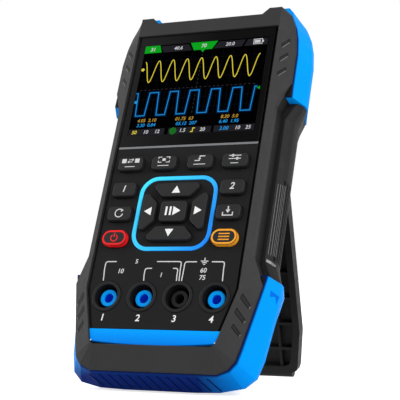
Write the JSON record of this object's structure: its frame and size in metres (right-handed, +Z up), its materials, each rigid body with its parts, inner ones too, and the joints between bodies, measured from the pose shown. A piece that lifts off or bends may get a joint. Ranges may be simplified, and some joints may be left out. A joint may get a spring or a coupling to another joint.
{
  "type": "handheld oscilloscope",
  "caption": "Handheld oscilloscope and multimeter: keypad and test sockets under a display, rubber-cornered case leaning on a fold-out leg.",
  "frame": {"origin": "on the ground under the middle of the box of the standing instrument", "axes": "+Z up, +X to the right seen from the front, +Y to the back, towards the leg"},
  "size_m": [0.089, 0.0932, 0.1593],
  "materials": {
    "shell": "fine spark-eroded moulded plastic, charcoal",
    "fascia": "fine textured black plastic",
    "display": "black glass over a colour display",
    "trim": "fine bright metal line",
    "blue_label": "bright blue painted band",
    "ring": "blue light line",
    "blue_rubber": "bright blue soft-touch rubber",
    "grip": "black soft-touch rubber",
    "key": "black silicone key",
    "silicone": "grey silicone mat",
    "spring_steel": "plain steel",
    "module": "display module",
    "board": "green solder mask",
    "chip": "black moulded package",
    "fuse": "ceramic tube with bright caps",
    "brass": "bright brass",
    "battery": "foil pouch",
    "foam": "thin foam",
    "tray": "black moulding",
    "socket_black": "black insulator",
    "socket_blue": "bright blue insulator",
    "nickel": "nickel plate",
    "leg": "black moulded plastic"
  },
  "bodies": {
    "case": {"front_shell": "shell", "rear_shell": "shell", "fascia": "fascia", "display_window": "display", "window_trim": "trim", "label_strip": "blue_label", "nav_ring": "ring", "bumper_upper_left": "blue_rubber", "bumper_upper_right": "blue_rubber", "bumper_lower": "blue_rubber", "feet": "blue_rubber", "grip_left": "grip", "grip_right": "grip", "keypad_mat": "silicone", "key_domes": "spring_steel", "display_module": "module", "main_board": "board", "shield_cans": "spring_steel", "chips": "chip", "buzzer": "chip", "fuses": "fuse", "fuse_clips": "brass", "battery": "battery", "battery_foam": "foam", "battery_tray": "tray", "socket_shrouds": "socket_black", "socket_base": "socket_black", "socket_insert_1": "socket_blue", "socket_contact_1": "brass", "socket_insert_2": "socket_blue", "socket_contact_2": "brass", "socket_insert_3": "socket_black", "socket_contact_3": "brass", "socket_insert_4": "socket_blue", "socket_contact_4": "brass", "bnc_channel_1": "nickel", "bnc_channel_2": "nickel", "bnc_generator": "nickel", "usb_socket": "nickel", "case_screws": "spring_steel", "board_screws": "spring_steel", "stand_pin": "spring_steel"},
    "key_move": {"key_move": "key"},
    "key_select": {"key_select": "key"},
    "key_trigger": {"key_trigger": "key"},
    "key_parameter": {"key_parameter": "key"},
    "key_channel_1": {"key_channel_1": "key"},
    "key_channel_2": {"key_channel_2": "key"},
    "key_auto": {"key_auto": "key"},
    "key_save": {"key_save": "key"},
    "key_power": {"key_power": "key"},
    "key_menu": {"key_menu": "key"},
    "key_up": {"key_up": "key"},
    "key_down": {"key_down": "key"},
    "key_left": {"key_left": "key"},
    "key_right": {"key_right": "key"},
    "key_run": {"key_run": "key"},
    "stand_leg": {"stand_leg": "leg"}
  },
  "joints": [
    {"name": "move_press", "type": "slide", "parent": "case", "child": "key_move", "axis": [0, 0.9205, -0.3907], "range_m": [0, 0.0008], "stiffness_N_per_m": 300},
    {"name": "select_press", "type": "slide", "parent": "case", "child": "key_select", "axis": [0, 0.9205, -0.3907], "range_m": [0, 0.0008], "stiffness_N_per_m": 300},
    {"name": "trigger_press", "type": "slide", "parent": "case", "child": "key_trigger", "axis": [0, 0.9205, -0.3907], "range_m": [0, 0.0008], "stiffness_N_per_m": 300},
    {"name": "parameter_press", "type": "slide", "parent": "case", "child": "key_parameter", "axis": [0, 0.9205, -0.3907], "range_m": [0, 0.0008], "stiffness_N_per_m": 300},
    {"name": "channel_1_press", "type": "slide", "parent": "case", "child": "key_channel_1", "axis": [0, 0.9205, -0.3907], "range_m": [0, 0.0008], "stiffness_N_per_m": 300},
    {"name": "channel_2_press", "type": "slide", "parent": "case", "child": "key_channel_2", "axis": [0, 0.9205, -0.3907], "range_m": [0, 0.0008], "stiffness_N_per_m": 300},
    {"name": "auto_press", "type": "slide", "parent": "case", "child": "key_auto", "axis": [0, 0.9205, -0.3907], "range_m": [0, 0.0008], "stiffness_N_per_m": 300},
    {"name": "save_press", "type": "slide", "parent": "case", "child": "key_save", "axis": [0, 0.9205, -0.3907], "range_m": [0, 0.0008], "stiffness_N_per_m": 300},
    {"name": "power_press", "type": "slide", "parent": "case", "child": "key_power", "axis": [0, 0.9205, -0.3907], "range_m": [0, 0.0008], "stiffness_N_per_m": 300},
    {"name": "menu_press", "type": "slide", "parent": "case", "child": "key_menu", "axis": [0, 0.9205, -0.3907], "range_m": [0, 0.0008], "stiffness_N_per_m": 300},
    {"name": "up_press", "type": "slide", "parent": "case", "child": "key_up", "axis": [0, 0.9205, -0.3907], "range_m": [0, 0.0008], "stiffness_N_per_m": 300},
    {"name": "down_press", "type": "slide", "parent": "case", "child": "key_down", "axis": [0, 0.9205, -0.3907], "range_m": [0, 0.0008], "stiffness_N_per_m": 300},
    {"name": "left_press", "type": "slide", "parent": "case", "child": "key_left", "axis": [0, 0.9205, -0.3907], "range_m": [0, 0.0008], "stiffness_N_per_m": 300},
    {"name": "right_press", "type": "slide", "parent": "case", "child": "key_right", "axis": [0, 0.9205, -0.3907], "range_m": [0, 0.0008], "stiffness_N_per_m": 300},
    {"name": "run_press", "type": "slide", "parent": "case", "child": "key_run", "axis": [0, 0.9205, -0.3907], "range_m": [0, 0.0008], "stiffness_N_per_m": 300},
    {"name": "stand_fold", "type": "hinge", "parent": "case", "child": "stand_leg", "pos_m": [0, 0.01925, 0.09264], "axis": [1, 0, 0], "range_deg": [-38.4, 0]}
  ]
}
